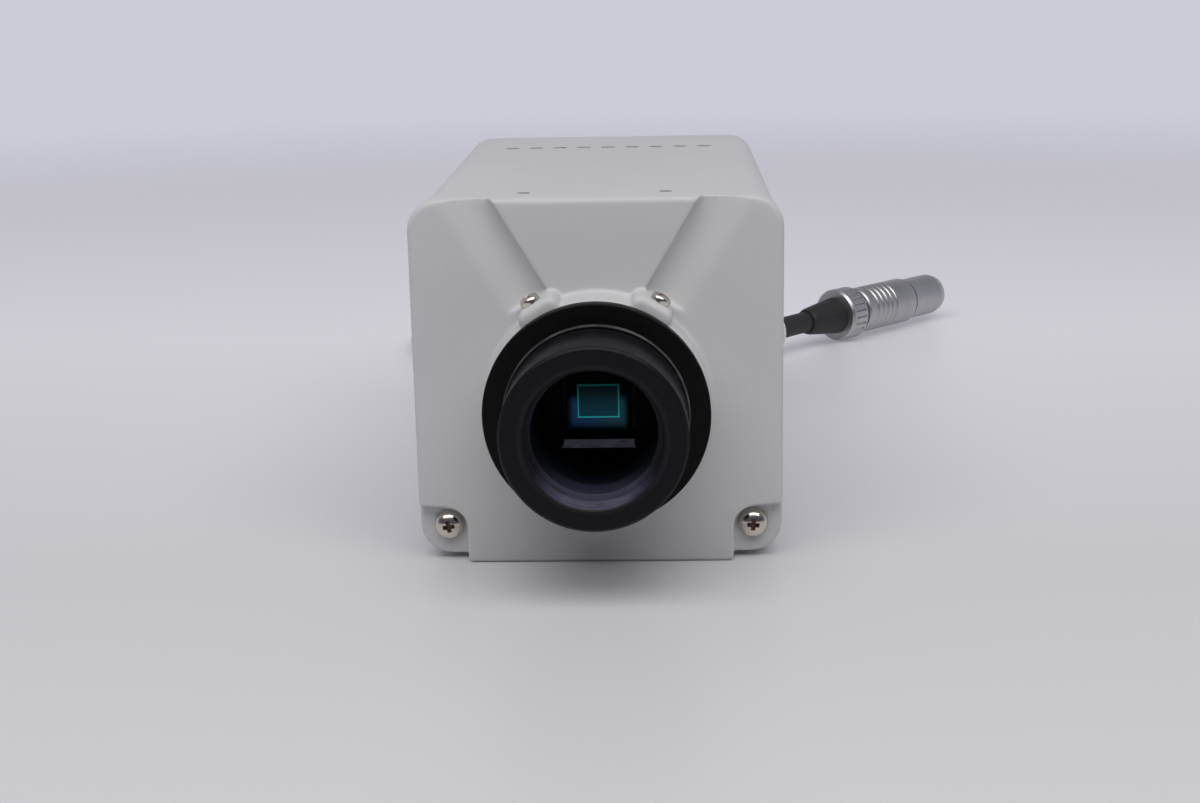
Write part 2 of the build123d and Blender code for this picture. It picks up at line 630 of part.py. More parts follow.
def gland_nut():
    y = (REAR_PLATE[0] - 3, REAR_PLATE[0])
    shape = slab(Pos(LEAD_X, LEAD_Z) * RegularPolygon(8.2, 6), y)
    return shape - rod(GLAND_SHANK + 0.05, (y[0] - 1, y[1] + 1), LEAD_X, LEAD_Z)


def strain_relief():
    """Tapered rubber sleeve that leaves the gland, with flexing grooves."""
    start = REAR_PLATE[0] - 4
    root, groove_pitch = REAR_PLATE[1] + 9.4, 3.2
    outline = [(0, start), (3.55, start), (3.55, root), (5.6, root), (5.6, root + 2)]
    for k in range(6):
        y = root + 3.2 + groove_pitch * k
        radius = 5.2 - 0.2 * k
        outline += [(radius, y), (radius, y + 1.8), (radius - 0.7, y + 2.0), (radius - 0.7, y + 3.0)]
    outline += [(4.0, BOOT_END - 1.5), (3.9, BOOT_END), (0, BOOT_END)]
    return turned(outline, LEAD_X, LEAD_Z)


def inner_lead():
    """The lead inside the case, from the gland to the main board."""
    points = [(LEAD_X, REAR_PLATE[0] - 4, LEAD_Z), (LEAD_X, 101, LEAD_Z), (11, 94, 14.2), (3, 90, 13.7)]
    return cord_tube(points, 2.0)


def cord_tube(points, radius):
    """A round tube along straight runs joined by arcs as large as the runs allow."""
    corners = []
    for before, point, after in zip(points, points[1:], points[2:]):
        into, out = Vector(*point) - Vector(*before), Vector(*after) - Vector(*point)
        half_turn = math.radians(into.get_angle(out)) / 2
        corners.append(0.45 * min(into.length, out.length) / math.tan(half_turn))
    path = FilletPolyline(*points, radius=corners)
    start = Plane(points[0], z_dir=Vector(*points[1]) - Vector(*points[0]))
    return sweep(start * Circle(radius), path)


def pigtail():
    return cord_tube(CORD_ROUTE, CORD_RADIUS)


def on_plug(shape):
    """Lay a shape drawn along +Z on the plug's axis, cable end first."""
    turn = math.radians(PLUG_TURN)
    return Plane(PLUG_START, x_dir=(0, 0, 1), z_dir=(math.cos(turn), math.sin(turn), 0)) * shape


def plug_boot():
    outline = [(0, 0), (3.5, 0), (3.9, 1.2), (5.3, 12.2), (5.3, 13), (0, 13)]
    return on_plug(spun(outline))


def plug_clamp():
    """Knurled clamp nut, the plug's widest ring."""
    shape = spun([(0, 13), (7.0, 13), (7.6, 13.6), (7.6, 19.4), (7.0, 20), (5.35, 20), (0, 20)])
    for k in range(24):
        shape -= Rot(0, 0, 15 * k) * Pos(7.75, 0, 16.5) * Rot(0, 0, 45) * Box(0.7, 0.7, 4.6)
    return on_plug(shape)


def plug_shell():
    """Plated shell: the tube that the sleeve slides on, and the open mating end."""
    outline = [(0, 20), (5.35, 20), (5.35, 45.2), (6.1, 45.2), (6.1, 57.5), (5.5, 59.6), (5.0, 60),
               (4.55, 60), (4.55, 50), (0, 50)]
    return on_plug(spun(outline))


def plug_sleeve():
    """Release sleeve of the push-pull plug, with gripping grooves."""
    outline = [(5.4, 22), (6.3, 22), (6.7, 22.4)]
    for k in range(5):
        z = 25 + 2.2 * k
        outline += [(6.7, z), (6.4, z + 0.3), (6.4, z + 0.9), (6.7, z + 1.2)]
    outline += [(6.7, 43.8), (6.3, 44.6), (5.4, 44.6)]
    return on_plug(spun(outline))


def pin_places():
    ring_radius = 2.7
    turns = [2 * math.pi * k / 7 for k in range(7)]
    return [(0.0, 0.0)] + [(ring_radius * math.cos(a), ring_radius * math.sin(a)) for a in turns]


def plug_insert():
    shape = Pos(0, 0, 53) * Cylinder(4.5, 6)
    for x, y in pin_places():
        shape -= Pos(x, y, 53) * Cylinder(0.52, 8)
    return on_plug(shape)


def plug_pins():
    return [on_plug(Pos(x, y, 54.2) * Cylinder(0.5, 8.4)) for x, y in pin_places()]


# ---- the assembly ----------------------------------------------------------------------
PARTS = {
    "front_casting": front_casting(),
    "focus_ring": focus_ring(),
    "nose_tube": nose_tube(),
    "nose_dowel": nose_dowel(),
    "lock_screw_left": lock_screw(-LOCK_ANGLE),
    "lock_screw_right": lock_screw(LOCK_ANGLE),
    "front_screws": front_screws(),
    "top_cover": top_cover(),
    "cover_screws": cover_screws(),
    "base_plate": base_plate(),
    "base_screws": base_screws(),
    "tripod_bush": tripod_bush(),
    "rear_panel": rear_panel(),
    "sensor_housing": sensor_housing(),
    "window_seal": window_seal(),
    "chamber_window": chamber_window(),
    "window_retainer": window_retainer(),
    "sensor_die": sensor_die(),
    "sensor_package": sensor_package(),
    "sensor_glass": sensor_glass(),
    "sensor_pins": sensor_pins(),
    "sensor_board": sensor_board(),
    "sensor_board_posts": board_posts(),
    "cold_finger": cold_finger(),
    "foam_jacket": foam_jacket(),
    "peltier_cold_plate": peltier_plate((18.0, 18.8)),
    "peltier_pellets": peltier_pellets(),
    "peltier_hot_plate": peltier_plate((20.4, 21.2)),
    "housing_gasket": housing_gasket(),
    "heat_sink": heat_sink(),
    "heat_sink_screws": heat_sink_screws(),
    "housing_screws": housing_screws(),
    "main_board": main_board(),
    "board_pillars": board_pillars(),
    "board_chips": board_chips(),
    "board_capacitors": board_capacitors(),
    "sensor_flex": sensor_flex(),
    "fan_frame": fan_frame(),
    "fan_stator": fan_stator(),
    "fan_bush": fan_bush(),
    "fan_shaft": fan_shaft(),
    "fan_rotor": fan_rotor(),
    "fan_guard": fan_guard(),
    "fan_screws": fan_screws(),
    "switch_body": switch_body(),
    "switch_knob": switch_knob(),
    "status_lamp": status_lamp(),
    "cable_gland": cable_gland(),
    "gland_nut": gland_nut(),
    "strain_relief": strain_relief(),
    "inner_lead": inner_lead(),
    "pigtail": pigtail(),
    "plug_boot": plug_boot(),
    "plug_clamp": plug_clamp(),
    "plug_shell": plug_shell(),
    "plug_sleeve": plug_sleeve(),
    "plug_insert": plug_insert(),
    "plug_pins": plug_pins(),
}

os.makedirs("parts", exist_ok=True)
TO_ORIGIN = Pos(0, -TRIPOD_SETBACK, 0)
for name, shape in PARTS.items():
    if isinstance(shape, list):
        shape = Compound(children=shape)
    export_step(TO_ORIGIN * shape, "parts/%s.step" % name)
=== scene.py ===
import json
import math

import bmesh
import bpy
from mathutils import Matrix, Vector


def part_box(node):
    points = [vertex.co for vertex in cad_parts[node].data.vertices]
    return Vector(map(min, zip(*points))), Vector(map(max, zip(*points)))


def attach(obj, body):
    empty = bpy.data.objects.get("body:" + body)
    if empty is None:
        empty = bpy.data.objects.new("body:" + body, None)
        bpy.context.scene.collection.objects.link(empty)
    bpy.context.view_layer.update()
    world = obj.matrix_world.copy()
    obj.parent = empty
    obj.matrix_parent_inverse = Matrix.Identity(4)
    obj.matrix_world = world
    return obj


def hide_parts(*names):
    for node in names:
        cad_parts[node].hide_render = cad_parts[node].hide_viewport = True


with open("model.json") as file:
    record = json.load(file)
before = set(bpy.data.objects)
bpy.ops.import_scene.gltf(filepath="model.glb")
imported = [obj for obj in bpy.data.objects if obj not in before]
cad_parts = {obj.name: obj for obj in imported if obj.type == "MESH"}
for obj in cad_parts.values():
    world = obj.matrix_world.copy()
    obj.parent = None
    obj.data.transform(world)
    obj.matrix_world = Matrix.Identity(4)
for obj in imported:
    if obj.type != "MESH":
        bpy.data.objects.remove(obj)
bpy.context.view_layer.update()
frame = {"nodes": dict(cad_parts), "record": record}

# Cooled astronomy camera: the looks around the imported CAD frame.
# Lengths are in millimetres where a comment doesn't say metres; the scene is in metres.
# +X is right, +Y runs from the nose to the back and +Z is up, with the origin at the mouth
# of the tripod socket.

NODES = frame["nodes"]
SLOT_OF = {part["node"]: part["material_slot"] for part in frame["record"]["subparts"]}
MM = 0.001
FACE_Y = -45.0      # the front casting's face


def row(x, y, z):
    """A point measured from the front casting's face, in metres in the scene's frame."""
    return Vector((x, y + FACE_Y, z)) * MM


def add_object(name, data):
    """A new object in the scene."""
    made = bpy.data.objects.new(name, data)
    bpy.context.scene.collection.objects.link(made)
    return made


# ---- view ---------------------------------------------------------------------------
CAMERA_PLACE = (12.4, -374.9, 116.2)
CAMERA_PITCH = -14.32       # degrees from level
CAMERA_YAW = 2.09
CAMERA_ROLL = -1.083
LENS_LENGTH = 54.03
FILM_WIDTH = 36.0
CLIP_METRES = (0.01, 20.0)


def make_camera():
    """The camera in front of the nose, a little above it and looking down."""
    data = bpy.data.cameras.new("camera")
    data.lens = LENS_LENGTH
    data.sensor_width = FILM_WIDTH
    data.clip_start, data.clip_end = CLIP_METRES
    camera = add_object("camera", data)
    yaw = Matrix.Rotation(math.radians(CAMERA_YAW), 4, "Z")
    pitch = Matrix.Rotation(math.radians(90 + CAMERA_PITCH), 4, "X")
    roll = Matrix.Rotation(math.radians(CAMERA_ROLL), 4, "Z")
    turn = yaw @ pitch @ roll
    camera.matrix_world = Matrix.Translation(Vector(CAMERA_PLACE) * MM) @ turn
    bpy.context.scene.camera = camera


make_camera()

# ---- the lead -----------------------------------------------------------------------
CORD_DIAMETER = 6.0
# From the strain relief to the plug, measured from the front casting's face.
CORD_ROUTE = [
    (16, 150, 17), (16, 166, 17), (16.5, 184, 12.5), (15, 201, 6), (9, 217, 3.1),
    (-4, 228, 3.1), (-22, 233, 3.1), (-41, 228.5, 3.1), (-55, 215, 3.1), (-60.5, 197, 3.1),
    (-57, 178, 3.1), (-46, 162, 3.1), (-29, 151.5, 3.1), (-9, 147, 3.1), (11.5, 149.5, 3.1),
    (29, 161, 5), (42, 174, 7.7), (54, 186, 7.7),
]


def make_lead():
    """The lead, out of the rear plate, once round on the table and up into its plug."""
    curve = bpy.data.curves.new("lead", "CURVE")
    curve.dimensions = "3D"
    curve.resolution_u = 12
    curve.bevel_depth = 1.0
    curve.bevel_resolution = 6
    spline = curve.splines.new("NURBS")
    spline.points.add(len(CORD_ROUTE) - 1)
    for point, place in zip(spline.points, CORD_ROUTE):
        point.co = (*row(*place), 1)
        point.radius = CORD_DIAMETER / 2 * MM
    spline.order_u = 3
    spline.use_endpoint_u = True
    lead = add_object("lead", curve)
    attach(lead, "root")
    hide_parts("pigtail")
    return lead


LEAD = make_lead()

# ---- material graphs ----------------------------------------------------------------
SHADER_INPUTS = {
    "colour": "Base Color", "rough": "Roughness", "metal": "Metallic", "normal": "Normal",
    "specular": "Specular IOR Level", "coat": "Coat Weight",
    "glow": "Emission Color", "glow_power": "Emission Strength",
}
BLANK = (0, 0, 0)


def scaled(colour, factor):
    return tuple(channel * factor for channel in colour)


class Graph:
    """A node tree, with short calls for the few kinds of node in use. A value is a number
    or a socket, and a colour is (r, g, b) or a socket."""

    def __init__(self, owner):
        owner.use_nodes = True
        self.tree = owner.node_tree

    def node(self, kind, inputs=(), **settings):
        made = self.tree.nodes.new("ShaderNode" + kind)
        for name, value in settings.items():
            setattr(made, name, value)
        for key, value in dict(inputs).items():
            if isinstance(value, bpy.types.NodeSocket):
                self.tree.links.new(value, made.inputs[key])
            else:
                made.inputs[key].default_value = value
        return made

    def maths(self, operation, *values):
        return self.node("Math", dict(enumerate(values)), operation=operation).outputs[0]

    def product(self, first, *others):
        for other in others:
            first = self.maths("MULTIPLY", first, other)
        return first

    def between(self, value, low, high, start=0.0, end=1.0, **settings):
        """Low to high as the value goes from start to end, and held beyond them."""
        sockets = {"Value": value, "From Min": start, "From Max": end, "To Min": low, "To Max": high}
        return self.node("MapRange", sockets, **settings).outputs["Result"]

    def mix(self, factor, first, second):
        """One colour laid over another."""
        ready = [c if isinstance(c, bpy.types.NodeSocket) else (*c, 1) for c in (first, second)]
        sockets = {0: factor, 6: ready[0], 7: ready[1]}
        return self.node("Mix", sockets, data_type="RGBA").outputs[2]


class Finish(Graph):
    """A material's graph. Places are the piece's own, in metres."""

    def __init__(self, name):
        self.material = bpy.data.materials.new(name)
        super().__init__(self.material)
        self.shader = self.tree.nodes["Principled BSDF"]
        self.where = self.node("TexCoord").outputs["Object"]

    def noise(self, scale, detail=2.0, where=None):
        sockets = {"Vector": where or self.where, "Scale": scale, "Detail": detail}
        return self.node("TexNoise", sockets).outputs["Fac"]

    def tint(self, factor, dark, light):
        """Dark to light over the middle of a noise's range."""
        ramp = self.node("ValToRGB", {"Fac": factor})
        for element, position, colour in zip(ramp.color_ramp.elements, (0.3, 0.7), (dark, light)):
            element.position = position
            element.color = (*colour, 1)
        return ramp.outputs["Color"]

    def axes(self):
        return self.node("SeparateXYZ", {"Vector": self.where}).outputs

    def axial_radius(self, *parts):
        squares = [self.maths("POWER", part, 2.0) for part in parts]
        return self.maths("SQRT", self.maths("ADD", *squares))

    def within(self, value, low, high, soft):
        """One between two distances in mm, fading to nothing over a soft edge outside."""
        rise = self.between(value, 0.0, 1.0, (low - soft) * MM, low * MM)
        fall = self.between(value, 1.0, 0.0, high * MM, (high + soft) * MM)
        return self.product(rise, fall)

    def bump(self, height, distance, under=None):
        """Relief of a depth in mm, over another relief if there is one."""
        sockets = {"Height": height, "Distance": distance * MM, "Strength": 1.0}
        if under is not None:
            sockets["Normal"] = under
        return self.node("Bump", sockets).outputs["Normal"]

    def set(self, **values):
        for key, value in values.items():
            socket = self.shader.inputs[SHADER_INPUTS[key]]
            if isinstance(value, bpy.types.NodeSocket):
                self.tree.links.new(value, socket)
            elif isinstance(value, tuple):
                socket.default_value = (*value, 1)
            else:
                socket.default_value = value
        return self.material

    def surface(self, shader):
        """Puts another shader in the place of the principled one."""
        self.tree.links.new(shader, self.tree.nodes["Material Output"].inputs["Surface"])
        return self.material


# ---- finishes -----------------------------------------------------------------------
def plain_finish(name, colour, rough, metal=0.0, grain=900.0, bump=0.01, **more):
    """Moulded or cast surfaces: a little grain in colour, gloss and height."""
    g = Finish(name)
    fine = g.noise(grain, 3.0)
    broad = g.noise(grain / 14, 2.0)
    shade = g.tint(broad, scaled(colour, 0.88), scaled(colour, 1.12))
    return g.set(colour=shade, rough=g.between(fine, rough - 0.06, rough + 0.08), metal=metal,
                 normal=g.bump(fine, bump), **more)


def plated(name, colour, rough):
    """Bare or plated metal, unevenly handled, with fine marks."""
    g = Finish(name)
    mark = g.noise(600.0, 4.0)
    wear = g.noise(90.0, 3.0)
    return g.set(colour=g.tint(wear, scaled(colour, 0.86), colour), metal=1.0,
                 rough=g.between(mark, rough - 0.04, rough + 0.09, 0.3, 0.8),
                 normal=g.bump(mark, 0.006))


PAINT = (0.575, 0.572, 0.577)


def grey_paint():
    """Baked stove enamel over cast and sheet metal: pebbled, satin, slightly uneven."""
    g = Finish("grey_paint")
    pebble = g.noise(1500.0, 2.5)
    ripple = g.noise(260.0, 2.0)
    cloud = g.noise(22.0, 3.0)
    return g.set(colour=g.tint(cloud, scaled(PAINT, 0.975), scaled(PAINT, 1.025)),
                 rough=g.between(pebble, 0.42, 0.58), specular=0.4,
                 normal=g.bump(pebble, 0.035, g.bump(ripple, 0.05)))


def turned_marks(g, radius, z):
    """The turning lines and the mottle of anodising on a lathe-turned surface, and the two
    together for its gloss."""
    along = g.node("CombineXYZ", {"X": g.maths("ADD", radius, z)}).outputs[0]
    lines = g.noise(9000.0, 2.0, along)
    mottle = g.noise(700.0, 3.0)
    return lines, mottle, g.maths("ADD", lines, g.product(mottle, 0.4))


RING_COLOUR = (0.0030, 0.0030, 0.0036)
# A painted highlight along the edge of the ring's front lip:
LIP_HIGHLIGHT_COLOUR = (0.10, 0.10, 0.10)
LIP_HIGHLIGHT_RADII = (17.08, 17.32)


def ring_black():
    """The back-focus ring: black, with a painted highlight, in patches, along the edge of its front
    lip.
    """
    g = Finish("ring_black")
    x, y, z = g.axes()
    radius = g.axial_radius(x, y)
    lines, mottle, both = turned_marks(g, radius, z)
    patchy = g.between(g.noise(160.0, 3.0), 0.35, 1.0, 0.4, 0.65)
    lip_highlight = g.product(g.within(radius, *LIP_HIGHLIGHT_RADII, 0.05), patchy)
    clean = g.tint(mottle, scaled(RING_COLOUR, 0.8), scaled(RING_COLOUR, 1.25))
    return g.set(colour=g.mix(lip_highlight, clean, LIP_HIGHLIGHT_COLOUR), specular=0.10,
                 rough=g.between(both, 0.31, 0.48, 0.3, 1.1), normal=g.bump(lines, 0.004))


BARREL_COLOUR = (0.0050, 0.0050, 0.0070)
CHAMFER_COLOUR = (0.011, 0.011, 0.0125)
BORE_COLOUR = (0.003, 0.003, 0.004)
# Painted light: the lit lower side of the bore.
BORE_LIT_COLOUR = (0.06, 0.059, 0.098)
BORE_EDGE = 12.62               # radius
CHAMFER_RADII = (12.5, 13.45)
THREAD_REACH = (-1, 5.2)        # depths into the bore
RIBS_REACH = (5.2, 11.0)
BEYOND_REACH = (11.3, 16.0)


def bore_painted_light(g, lines, y, z, radius):
    """How much painted light the bore takes: a painted pool of light, most near its mouth, and on
    its lower side, which is towards the piece's own +Y."""
    light_patches = g.noise(330.0, 4.0)
    thread = g.product(g.within(z, *THREAD_REACH, 0.2), g.between(light_patches, 0.7, 1.25, 0.35, 0.65))
    ribs = g.product(g.within(z, *RIBS_REACH, 0.3), g.between(lines, 0.4, 0.8, 0.35, 0.65))
    beyond = g.product(g.within(z, *BEYOND_REACH, 1.0), 0.16)
    lower = g.between(g.maths("DIVIDE", y, radius), 0.12, 1.0, 0.5, 0.93)
    return g.product(g.maths("ADD", g.maths("ADD", thread, ribs), beyond), lower)


def barrel_black():
    """The nose barrel: black outside, with a paler chamfer and painted light in its bore."""
    g = Finish("black_anodised")
    x, y, z = g.axes()
    radius = g.axial_radius(x, y)
    lines, mottle, both = turned_marks(g, radius, z)
    outside = g.tint(mottle, scaled(BARREL_COLOUR, 0.8), scaled(BARREL_COLOUR, 1.25))
    outside = g.mix(g.within(radius, *CHAMFER_RADII, 0.15), outside, CHAMFER_COLOUR)
    # The bore's lower side is painted lighter, for the light that falls on it.
    bore = g.mix(bore_painted_light(g, lines, y, z, radius), BORE_COLOUR, BORE_LIT_COLOUR)
    return g.set(colour=g.mix(g.within(radius, 0, BORE_EDGE, 0.1), outside, bore), specular=0.14,
                 rough=g.between(both, 0.29, 0.46, 0.3, 1.1), normal=g.bump(lines, 0.004))


# A painted glow on the housing's sill, for the light that reaches it:
SILL_GLOW = (0.026, 0.026, 0.037)
SILL_HEIGHTS = (23.15, 23.35)
SILL_DEPTHS = (-45.9, -40.5)
SILL_HALF = 6.9


def housing_black():
    """Black anodised housing; a painted glow on the sill under its window stands for the little light
    that reaches it.
    """
    g = Finish("housing_black")
    fine = g.noise(1500.0, 3.0)
    x, y, z = g.axes()
    sill = g.product(g.within(x, -SILL_HALF, SILL_HALF, 0.25), g.within(z, *SILL_HEIGHTS, 0.1),
                     g.within(y, *SILL_DEPTHS, 0.25))
    return g.set(colour=g.tint(fine, (0.0035, 0.0035, 0.004), (0.006, 0.006, 0.007)), rough=0.5,
                 specular=0.08, normal=g.bump(fine, 0.012), glow=g.mix(sill, BLANK, SILL_GLOW),
                 glow_power=g.between(g.noise(420.0, 3.0), 0.55, 1.15, 0.3, 0.7))


LENS_HEIGHT = 31.7
DIE_HALF = 3.975
DIE_RISE = 3.225
BORDER = 0.28
BORDER_SOFT = 0.04
SILICON_COLOUR = (0.002, 0.004, 0.005)
# Painted glows on the die: its border, and its field low and high.
BORDER_GLOW = (0.010, 0.19, 0.185)
FIELD_LOW = (0.004, 0.026, 0.036)
FIELD_HIGH = (0.002, 0.003, 0.004)


def sensor_silicon():
    """The die: dark silicon with painted glows: a teal border, brightest at the bottom, round a field
    that glows teal low down and fades to dark at the top.
    """
    g = Finish("silicon")
    x, _, z = g.axes()
    up = g.maths("SUBTRACT", z, LENS_HEIGHT * MM)
    half = DIE_HALF - BORDER
    rise = DIE_RISE - BORDER
    inner = g.product(g.within(x, -half, half, BORDER_SOFT), g.within(up, -rise, rise, BORDER_SOFT))
    line = g.mix(g.between(up, 1.0, 0.16, -DIE_RISE * MM, DIE_RISE * MM), BLANK, BORDER_GLOW)
    climb = g.between(up, 0.0, 1.0, -DIE_RISE * MM, DIE_RISE * 0.8 * MM)
    return g.set(colour=SILICON_COLOUR, rough=0.3, specular=0.02, glow_power=1.0,
                 glow=g.mix(inner, line, g.mix(climb, FIELD_LOW, FIELD_HIGH)),
                 normal=g.bump(g.noise(2600.0, 2.0), 0.0005))


# A painted sheen on the cover glass, bluer on the left:
SHEEN_LEFT = (0.003, 0.009, 0.026)
SHEEN_RIGHT = (0.0045, 0.013, 0.019)
SHEEN_TURN = 3.0                # half the width over which one goes into the other
SHEEN_HALF = 4.6
SHEEN_HEIGHTS = (-3.6, 0.0)     # from the lens axis
COVERED_HALF = 3.9
COVERED_HEIGHTS = (-2.7, 3.5)


def sensor_window():
    """The sensor's cover glass: clear, with a painted sheen, a weak glow, beside and below the die."""
    g = Finish("sensor_glass")
    x, _, z = g.axes()
    up = g.maths("SUBTRACT", z, LENS_HEIGHT * MM)
    around = g.product(g.within(x, -SHEEN_HALF, SHEEN_HALF, 1.3), g.within(up, *SHEEN_HEIGHTS, 1.6))
    over_die = g.product(g.within(x, -COVERED_HALF, COVERED_HALF, 0.2),
                         g.within(up, *COVERED_HEIGHTS, 0.2))
    share = g.product(around, g.between(over_die, 1.0, 0.1))
    side = g.between(x, 0.0, 1.0, -SHEEN_TURN * MM, SHEEN_TURN * MM)
    tone = g.mix(side, SHEEN_LEFT, SHEEN_RIGHT)
    clear = g.node("BsdfTransparent", {"Color": (0.97, 0.99, 0.99, 1)}).outputs[0]
    glow = g.node("Emission", {"Color": tone, "Strength": share}).outputs[0]
    return g.surface(g.node("AddShader", {0: clear, 1: glow}).outputs[0])


def window_glass():
    """The chamber's window: clear, mirroring more and more towards a grazing view."""
    g = Finish("window_glass")
    clear = g.node("BsdfTransparent", {"Color": (0.97, 0.98, 0.98, 1)}).outputs[0]
    gloss = g.node("BsdfGlossy", {"Color": (0.7, 0.75, 0.8, 1), "Roughness": 0.02}).outputs[0]
    facing = g.node("LayerWeight", {"Blend": 0.12}).outputs["Fresnel"]
    share = g.between(facing, 0.0, 1.0, 0.03, 1.0)
    return g.surface(g.node("MixShader", {0: share, 1: clear, 2: gloss}).outputs[0])


PLAIN_LOOKS = {
    # The screw recesses' dark brown is painted shade.
    "screw_recess": {"colour": (0.16, 0.095, 0.075), "rough": 0.5, "metal": 0.3, "grain": 1500.0},
    "seal_rubber": {"colour": (0.02, 0.02, 0.02), "rough": 0.7},
    "ceramic": {"colour": (0.012, 0.012, 0.014), "rough": 0.6, "specular": 0.05},
    "board": {"colour": (0.02, 0.12, 0.05), "rough": 0.35},
    "foam": {"colour": (0.05, 0.05, 0.05), "rough": 0.9, "grain": 1800.0, "bump": 0.1},
    "pellet": {"colour": (0.2, 0.2, 0.22), "rough": 0.5, "metal": 0.6},
    "chip_plastic": {"colour": (0.015, 0.015, 0.015), "rough": 0.55},
    "flex_film": {"colour": (0.42, 0.17, 0.03), "rough": 0.35},
    "fan_plastic": {"colour": (0.016, 0.016, 0.017), "rough": 0.48, "grain": 1400.0, "bump": 0.02},
    "lamp": {"colour": (0.03, 0.25, 0.04), "rough": 0.12, "bump": 0.001, "coat": 0.6},
    "gland_plastic": {"colour": (0.018, 0.018, 0.018), "rough": 0.5, "grain": 1400.0, "bump": 0.02},
    "cable_rubber": {"colour": (0.016, 0.016, 0.017), "rough": 0.55, "grain": 1200.0, "bump": 0.02},
}
METAL_LOOKS = {     # colour and roughness
    "nickel": ((0.72, 0.665, 0.60), 0.13),
    "steel_bush": ((0.55, 0.55, 0.54), 0.3),
    "gold_pin": ((0.75, 0.55, 0.22), 0.25),
    "copper": ((0.7, 0.36, 0.2), 0.3),
    "fin_aluminium": ((0.72, 0.73, 0.75), 0.35),
    "capacitor": ((0.62, 0.62, 0.64), 0.3),
    "guard_wire": ((0.72, 0.72, 0.72), 0.22),
    "plug_metal": ((0.50, 0.50, 0.505), 0.34),
}
MATERIALS = {
    "grey_paint": grey_paint(),
    "black_anodised": housing_black(),
    "window_glass": window_glass(),
    "sensor_glass": sensor_window(),
    "silicon": sensor_silicon(),
}
MATERIALS.update({slot: plain_finish(slot, **look) for slot, look in PLAIN_LOOKS.items()})
MATERIALS.update({slot: plated(slot, *look) for slot, look in METAL_LOOKS.items()})
BARREL_BLACK = barrel_black()
RING_BLACK = ring_black()

for node, solid in NODES.items():
    solid.data.materials.clear()
    solid.data.materials.append(MATERIALS[SLOT_OF[node]])
LEAD.data.materials.append(MATERIALS["cable_rubber"])

# ---- mesh building ------------------------------------------------------------------
LATHE_STEPS = 256
EASE_RADIUS = 0.12
EASE_STEPS = 3


def facing(direction):
    """The turn that points a shape's Z in a direction."""
    return Vector(direction).to_track_quat("Z", "Y").to_matrix().to_4x4()


def node_axis(node):
    """The X and Z of a node's middle."""
    low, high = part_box(node)
    return (low.x + high.x) / 2 / MM, (low.z + high.z) / 2 / MM


def turned_node(node):
    """Stands a shape drawn along Z at a turned node's front end, with its Z along +Y, and
    gives the node's largest radius."""
    low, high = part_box(node)
    x, z = node_axis(node)
    place = Matrix.Translation(Vector((x, low.y / MM, z)) * MM)
    return place @ Matrix.Rotation(math.radians(-90), 4, "X"), (high.x - low.x) / 2 / MM


def eased(outline):
    """A closed outline with its corners rounded; one beside a short side is rounded less."""
    points = [Vector(point) for point in outline]
    made = []
    for i, point in enumerate(points):
        before = points[i - 1] - point
        after = points[(i + 1) % len(points)] - point
        cut = EASE_RADIUS / math.tan(before.angle(after) / 2)
        cut = min(cut, 0.45 * before.length, 0.45 * after.length)
        start = point + before.normalized() * cut
        end = point + after.normalized() * cut
        for k in range(EASE_STEPS + 1):
            t = k / EASE_STEPS
            made.append(tuple(start * (1 - t) ** 2 + point * 2 * t * (1 - t) + end * t * t))
    return made


def ring_faces(rings, steps, closed):
    """Quads from each ring of points to the next; closed also joins the last to the first."""
    faces = []
    for j in range(rings if closed else rings - 1):
        here = j * steps
        there = (j + 1) % rings * steps
        for k in range(steps):
            after = (k + 1) % steps
            faces.append((here + k, here + after, there + after, there + k))
    return faces


def lathe(outline, relief=None):
    """A closed outline of (radius, height) points turned about Z. relief(radius, height,
    turn) may change the radius, turn being the share of a full turn."""
    verts = []
    for radius, height in outline:
        for k in range(LATHE_STEPS):
            turn = k / LATHE_STEPS
            r = relief(radius, height, turn) if relief else radius
            angle = 2 * math.pi * turn
            verts.append((r * math.cos(angle), r * math.sin(angle), height))
    return verts, ring_faces(len(outline), LATHE_STEPS, closed=True)


def moved(shell, matrix):
    """A shell with its points moved."""
    verts, *rest = shell
    return [tuple(matrix @ Vector(v)) for v in verts], *rest


def cleaned(mesh, merge, mend=True):
    """Merges points closer than a distance in metres. With mend, it also drops the faces
    that this leaves empty and turns the others outwards."""
    bm = bmesh.new()
    bm.from_mesh(mesh)
    bmesh.ops.remove_doubles(bm, verts=bm.verts, dist=merge)
    if mend:
        bmesh.ops.dissolve_degenerate(bm, edges=bm.edges, dist=1e-8)
        bmesh.ops.recalc_face_normals(bm, faces=bm.faces)
    bm.to_mesh(mesh)
    bm.free()


def smooth(mesh):
    mesh.polygons.foreach_set("use_smooth", [True] * len(mesh.polygons))


def stand_for(made, node, body):
    """Puts a piece in a node's place, on its body."""
    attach(made, body)
    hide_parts(node)
    return made


def piece(name, shells, material, node, place=Matrix(), body="root", sharp=32.0, second=None):
    """One object from several shells, drawn in mm in its own frame, standing for a node. A
    shell's third part is the number of its first faces that take the second material."""
    verts, faces, marks = [], [], []
    for shell_verts, shell_faces, *marked in shells:
        start = len(verts)
        verts += shell_verts
        faces += [tuple(start + i for i in face) for face in shell_faces]
        marks += [int(i < sum(marked)) for i in range(len(shell_faces))]
    mesh = bpy.data.meshes.new(name)
    mesh.from_pydata([Vector(v) * MM for v in verts], [], faces)
    mesh.polygons.foreach_set("material_index", marks)
    cleaned(mesh, 1e-7)
    smooth(mesh)
    mesh.set_sharp_from_angle(angle=math.radians(sharp))
    for finish in (material, second):
        if finish:
            mesh.materials.append(finish)
    made = add_object(name, mesh)
    made.matrix_world = place
    return stand_for(made, node, body)


# ---- front casting ------------------------------------------------------------------
CAST_VOXEL = 0.28
CAST_SMOOTHING = 5


